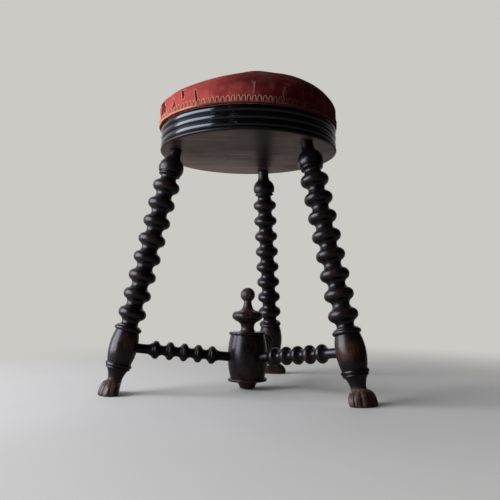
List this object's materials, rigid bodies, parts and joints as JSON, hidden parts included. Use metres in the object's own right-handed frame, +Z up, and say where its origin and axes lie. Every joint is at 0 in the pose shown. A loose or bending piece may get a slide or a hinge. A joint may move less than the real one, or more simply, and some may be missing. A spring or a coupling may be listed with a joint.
{
  "type": "revolving piano stool",
  "caption": "Round stool with a domed stuffed seat that revolves on a hidden pivot, a reeded rim, splayed bobbin-turned legs with carved paw feet, and stretchers that meet at a turned boss.",
  "frame": {"origin": "on the floor, under the axis that the seat turns on", "axes": "+Z up along the seat's axis, +Y towards the rear leg, +X to the right as seen from the front, between the two front legs"},
  "size_m": [0.435, 0.3997, 0.522],
  "materials": {
    "ebonised_wood": "worn black-brown polish",
    "board_wood": "bare, dusty grey-brown",
    "seat_wood": "bare pine",
    "wedge_wood": "bare hardwood",
    "plate_iron": "dark, lightly rusted",
    "screw_steel": "dull steel",
    "washer_brass": "dull brass",
    "horsehair": "packed hair",
    "calico": "plain cloth",
    "red_cover": "worn red cloth",
    "salmon_braid": "looped braid"
  },
  "bodies": {
    "stand": {"base_board": "board_wood", "leg_left": "ebonised_wood", "leg_right": "ebonised_wood", "leg_rear": "ebonised_wood", "leg_wedges": "wedge_wood", "stretcher_left": "ebonised_wood", "stretcher_right": "ebonised_wood", "stretcher_rear": "ebonised_wood", "centre_boss": "ebonised_wood", "boss_finial": "ebonised_wood", "pivot_plate": "plate_iron", "pivot_plate_screws": "screw_steel", "pivot_spindle": "screw_steel", "thrust_washer": "washer_brass", "spindle_washer": "screw_steel", "spindle_nut": "screw_steel"},
    "seat": {"seat_board": "seat_wood", "seat_rim": "ebonised_wood", "seat_plate": "plate_iron", "seat_plate_screws": "screw_steel", "stuffing": "horsehair", "calico_lining": "calico", "seat_cover": "red_cover", "gimp_braid": "salmon_braid", "cover_tacks": "screw_steel"}
  },
  "joints": [
    {"name": "seat_turn", "type": "hinge", "parent": "stand", "child": "seat", "pos_m": [0, 0, 0.4287], "axis": [0, 0, 1], "continuous": true}
  ]
}
